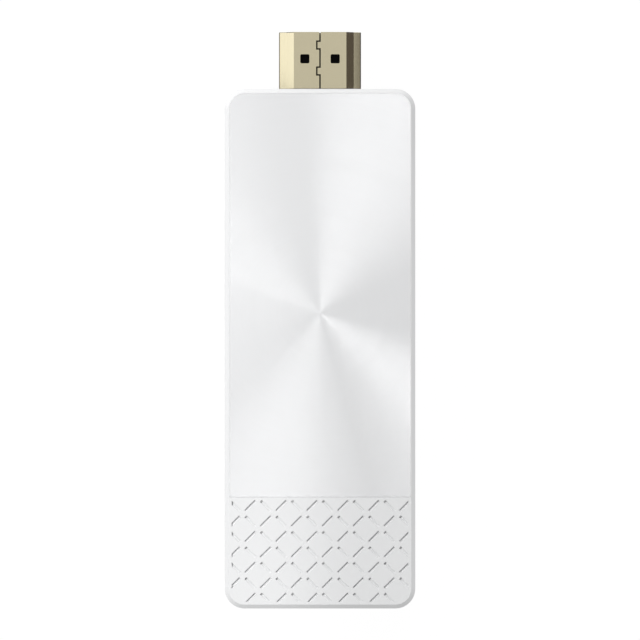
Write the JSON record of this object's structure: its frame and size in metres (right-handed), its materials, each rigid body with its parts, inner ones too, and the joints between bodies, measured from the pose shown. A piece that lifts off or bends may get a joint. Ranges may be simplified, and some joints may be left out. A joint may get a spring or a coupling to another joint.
{
  "type": "wireless display dongle",
  "caption": "Slim white stick with a bare video plug at its end, a spun-finish front panel and a lattice of short grooves; shows a phone's picture on a screen by radio.",
  "frame": {"origin": "middle of the case's back face, on which it lies", "axes": "+Z out of the front face, +Y along the stick towards the video plug, +X towards the side with the button and the light"},
  "size_m": [0.0322, 0.0975, 0.0126],
  "materials": {
    "case_plastic": "fine satin texture",
    "spun_panel": "pearl white with fine concentric spun lines",
    "adhesive_film": "clear film",
    "label_sheet": "satin coated, blank",
    "plug_metal": "pale gold plate, smooth",
    "black_insulator": "moulded, matte",
    "gold_contacts": "gold plate",
    "board_laminate": "solder mask",
    "steel_fixings": "zinc plate",
    "chip_moulding": "fine grained moulding",
    "tinned_sheet": "tin plate",
    "thermal_pad": "soft matte",
    "spreader_aluminium": "rolled",
    "inductor_moulding": "pressed iron powder",
    "capacitor_moulding": "moulded",
    "capacitor_ceramic": "fired",
    "resistor_ceramic": "glazed",
    "socket_steel": "nickel plate",
    "button_plastic": "fine satin texture",
    "light_housing": "white moulding",
    "clear_plastic": "clear, polished end"
  },
  "bodies": {
    "case": {"front_cover": "case_plastic", "rear_cover": "case_plastic", "spin_panel": "spun_panel", "panel_adhesive": "adhesive_film", "rating_label": "label_sheet", "plug_shell": "plug_metal", "plug_insulator": "black_insulator", "video_contacts": "gold_contacts", "main_board": "board_laminate", "board_screws": "steel_fixings", "processor": "chip_moulding", "memory_chips": "chip_moulding", "flash_chip": "chip_moulding", "shield_frame": "tinned_sheet", "shield_lid": "tinned_sheet", "processor_pad": "thermal_pad", "spreader_pad": "thermal_pad", "heat_spreader": "spreader_aluminium", "power_chip": "chip_moulding", "power_inductors": "inductor_moulding", "bulk_capacitors": "capacitor_moulding", "ceramic_capacitors": "capacitor_ceramic", "chip_resistors": "resistor_ceramic", "crystals": "tinned_sheet", "surge_chips": "chip_moulding", "radio_board": "board_laminate", "radio_can": "tinned_sheet", "antenna_left": "tinned_sheet", "antenna_right": "tinned_sheet", "socket_shell": "socket_steel", "socket_insulator": "black_insulator", "socket_contacts": "gold_contacts", "switch_body": "chip_moulding", "switch_leaf": "steel_fixings", "status_light": "light_housing", "light_pipe": "clear_plastic"},
    "button": {"button_cap": "button_plastic"},
    "plunger": {"switch_plunger": "black_insulator"}
  },
  "joints": [
    {"name": "button_press", "type": "slide", "parent": "case", "child": "button", "axis": [-1, 0, 0], "range_m": [0, 0.00025], "stiffness_N_per_m": 6400},
    {"name": "plunger_press", "type": "slide", "parent": "case", "child": "plunger", "axis": [-1, 0, 0], "range_m": [0, 0.00025]}
  ],
  "couplings": [
    {"joint": "plunger_press", "follows": "button_press", "ratio": 1}
  ]
}
